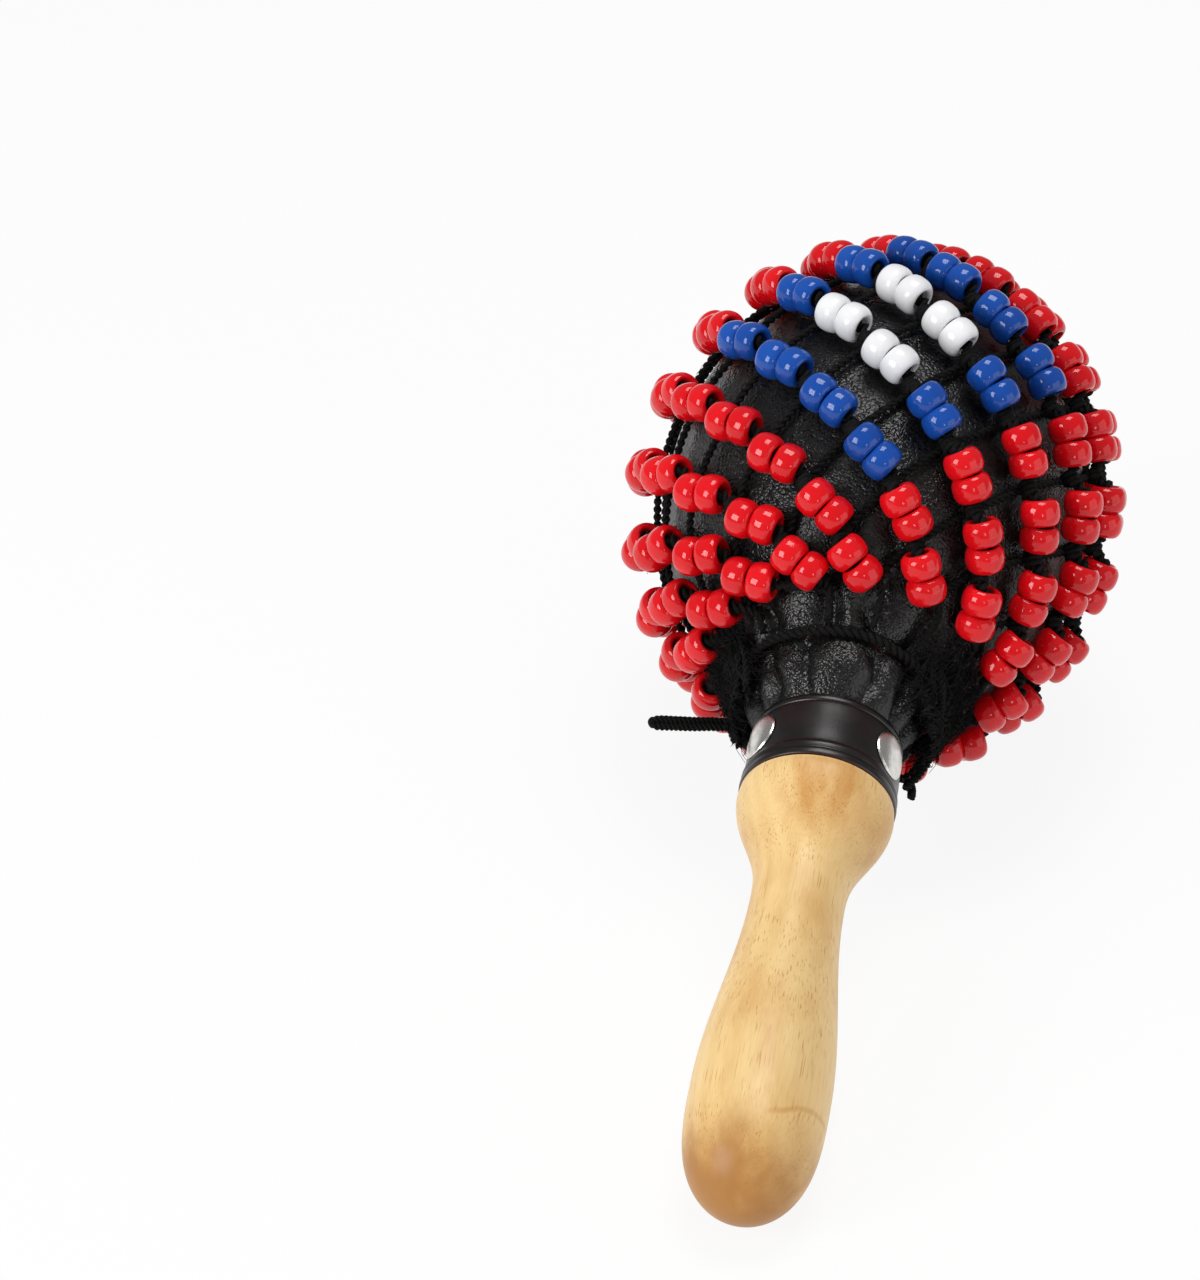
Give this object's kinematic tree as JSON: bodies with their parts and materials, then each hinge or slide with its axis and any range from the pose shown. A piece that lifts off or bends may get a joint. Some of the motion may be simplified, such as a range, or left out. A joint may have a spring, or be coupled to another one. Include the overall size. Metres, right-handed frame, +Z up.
{
  "type": "beaded maraca",
  "caption": "Hand rattle: a turned wooden handle, a black hide head with loose shot inside, and a slack diamond net of glossy beads drawn round the head that slaps against it.",
  "frame": {"origin": "on the floor, under the centre of the whole without its loose cords", "axes": "+Y from the butt of the handle to the head, along the floor; +Z up; +X to the maraca's right. The maraca lies on its grip and its beads, with its axis rising about 14.3 degrees to the head."},
  "size_m": [0.117, 0.2588, 0.1187],
  "materials": {
    "pale_wood": "satin lacquer on pale turned wood",
    "black_collar": "satin black ferrule",
    "nickel": "nickel-plated domed tack",
    "black_hide": "moulded black hide with a fine grain",
    "beads": "glossy beads, red with blue and white ones in a lozenge, on black cord",
    "black_cord": "twisted black cord",
    "lead_shot": "dull grey shot"
  },
  "bodies": {
    "maraca": {"handle": "pale_wood", "collar": "black_collar", "stud_1": "nickel", "stud_2": "nickel", "stud_3": "nickel", "head": "black_hide"},
    "net": {"bead_strand_01": "beads", "bead_strand_02": "beads", "bead_strand_03": "beads", "bead_strand_04": "beads", "bead_strand_05": "beads", "bead_strand_06": "beads", "bead_strand_07": "beads", "bead_strand_08": "beads", "bead_strand_09": "beads", "bead_strand_10": "beads", "bead_strand_11": "beads", "bead_strand_12": "beads", "bead_strand_13": "beads", "bead_strand_14": "beads", "cross_cord_01": "black_cord", "cross_cord_02": "black_cord", "cross_cord_03": "black_cord", "cross_cord_04": "black_cord", "cross_cord_05": "black_cord", "cross_cord_06": "black_cord", "cross_cord_07": "black_cord", "cross_cord_08": "black_cord", "cross_cord_09": "black_cord", "cross_cord_10": "black_cord", "cross_cord_11": "black_cord", "cross_cord_12": "black_cord", "cross_cord_13": "black_cord", "cross_cord_14": "black_cord", "crown_ring": "black_cord", "draw_cord": "black_cord", "bow_knot": "black_cord", "lace_loop": "black_cord", "cord_tail_1": "black_cord", "cord_tail_2": "black_cord"},
    "shot": {"shot_01": "lead_shot", "shot_02": "lead_shot", "shot_03": "lead_shot", "shot_04": "lead_shot", "shot_05": "lead_shot", "shot_06": "lead_shot", "shot_07": "lead_shot", "shot_08": "lead_shot", "shot_09": "lead_shot", "shot_10": "lead_shot", "shot_11": "lead_shot", "shot_12": "lead_shot"}
  },
  "joints": [
    {"name": "net_turn", "type": "hinge", "parent": "maraca", "child": "net", "pos_m": [0.00021, 0.06541, 0.0592], "axis": [0, 0.9691, 0.2466], "range_deg": [-25, 25]},
    {"name": "shot_swirl", "type": "hinge", "parent": "maraca", "child": "shot", "pos_m": [0.00021, 0.06541, 0.0592], "axis": [0, 0.9691, 0.2466], "continuous": true}
  ]
}
